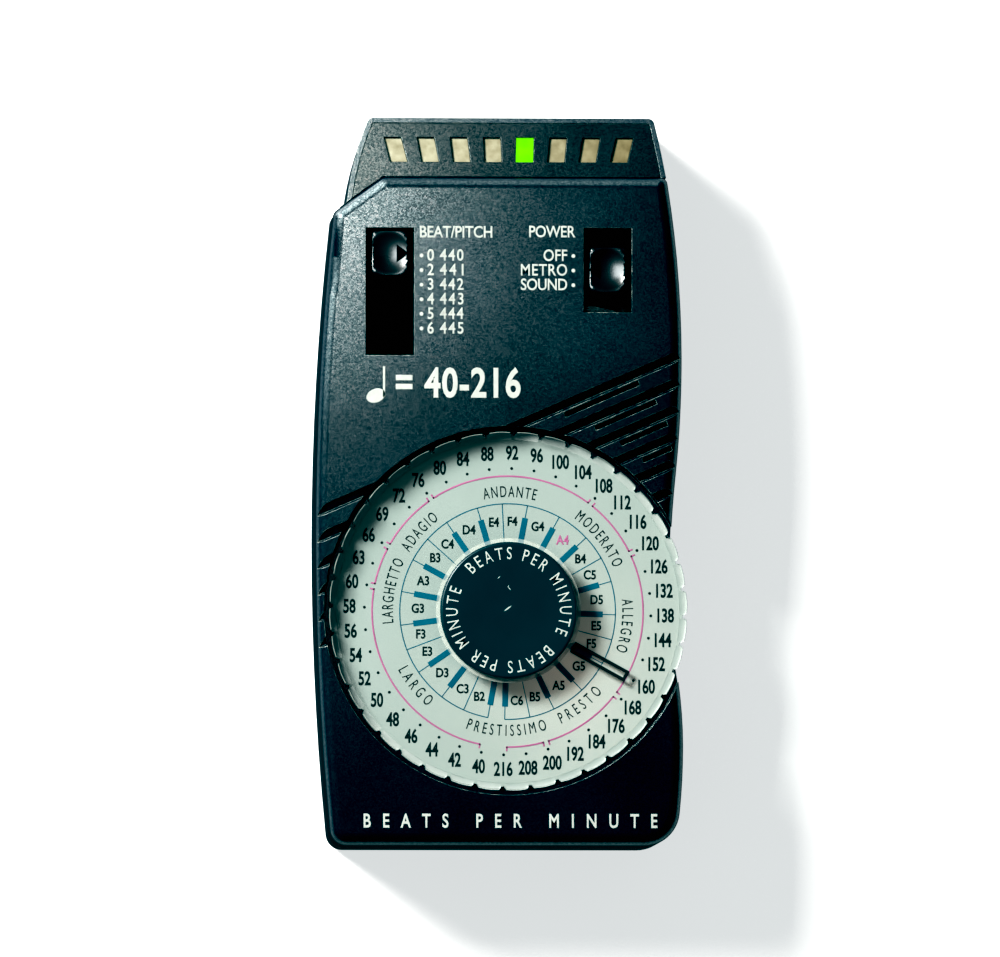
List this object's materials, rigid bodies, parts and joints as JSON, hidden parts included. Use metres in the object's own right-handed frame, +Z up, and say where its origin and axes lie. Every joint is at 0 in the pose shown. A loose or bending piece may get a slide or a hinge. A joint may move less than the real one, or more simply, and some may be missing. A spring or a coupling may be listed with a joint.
{
  "type": "pocket metronome",
  "caption": "Flat pocket metronome with a clear tempo dial over a printed scale, a row of beat lights, two slide switches, sound slots and a battery door.",
  "frame": {"origin": "middle of the whole object, on the surface that it lies on", "axes": "+Z up out of the front face, +Y towards the end with the beat lights, +X to the right as the dial is read"},
  "size_m": [0.0672, 0.132, 0.0288],
  "materials": {
    "case_plastic": "fine grained moulding",
    "back_plastic": "fine grained moulding",
    "panel_plastic": "fine grained moulding",
    "screw_steel": "zinc plated",
    "window_plastic": "translucent, mottled",
    "lit_window": "translucent, lit from behind",
    "led_resin": "diffused",
    "board_resin": "solder resist",
    "ribbon_plastic": "flat cable",
    "scale_white": "printed",
    "clear_plastic": "clear",
    "print_black": "printed",
    "print_white": "printed lettering",
    "print_ink": "printed lettering",
    "print_pink": "printed lettering",
    "print_teal": "printed lettering",
    "cap_plastic": "satin",
    "inner_plastic": "moulded",
    "contact_brass": "plated",
    "spring_steel": "bright",
    "switch_plastic": "moulded",
    "slider_plastic": "polished",
    "chip_resin": "moulded",
    "can_steel": "bright",
    "sleeve_plastic": "shrink sleeve",
    "resistor_resin": "lacquer",
    "magnet_iron": "ferrite",
    "cone_paper": "pressed pulp",
    "speaker_felt": "thin woven cloth",
    "battery_jacket": "plain printed jacket",
    "lead_red": "insulated wire",
    "lead_black": "insulated wire"
  },
  "bodies": {
    "case": {"front_cover": "case_plastic", "back_case": "back_plastic", "case_screws": "screw_steel", "light_panel": "panel_plastic", "beat_windows": "window_plastic", "beat_window_lit": "lit_window", "leds": "led_resin", "led_board": "board_resin", "led_ribbon": "ribbon_plastic", "scale_plate": "scale_white", "click_spring": "spring_steel", "contact_pads": "contact_brass", "pitch_switch": "switch_plastic", "power_switch": "switch_plastic", "main_board": "board_resin", "board_screws": "screw_steel", "timing_chip": "chip_resin", "quartz_crystal": "can_steel", "capacitors": "sleeve_plastic", "resistors": "resistor_resin", "transistor": "chip_resin", "speaker_frame": "spring_steel", "speaker_magnet": "magnet_iron", "speaker_cone": "cone_paper", "speaker_cloth": "speaker_felt", "battery": "battery_jacket", "battery_terminals": "can_steel", "battery_snap": "inner_plastic", "battery_lead_plus": "lead_red", "battery_lead_minus": "lead_black", "speaker_leads": "lead_black"},
    "dial": {"dial_wheel": "clear_plastic", "dial_pointer": "print_black", "dial_cap": "cap_plastic", "dial_hub": "inner_plastic", "dial_rotor": "inner_plastic", "dial_wiper": "contact_brass", "rotor_clip": "spring_steel"},
    "pitch_slider": {"pitch_slider": "slider_plastic", "pitch_lever": "inner_plastic"},
    "power_slider": {"power_slider": "slider_plastic", "power_lever": "inner_plastic"},
    "battery_door": {"battery_door": "back_plastic"}
  },
  "joints": [
    {"name": "dial_turn", "type": "hinge", "parent": "case", "child": "dial", "pos_m": [0.0012, -0.0236, 0.025], "axis": [0, 0, -1], "continuous": true},
    {"name": "pitch_slide", "type": "slide", "parent": "case", "child": "pitch_slider", "axis": [0, -1, 0], "range_m": [0, 0.0132]},
    {"name": "power_slide", "type": "slide", "parent": "case", "child": "power_slider", "axis": [0, -1, 0], "range_m": [-0.00264, 0.00264]},
    {"name": "battery_door_slide", "type": "slide", "parent": "case", "child": "battery_door", "axis": [0, -1, 0], "range_m": [0, 0.03]}
  ]
}
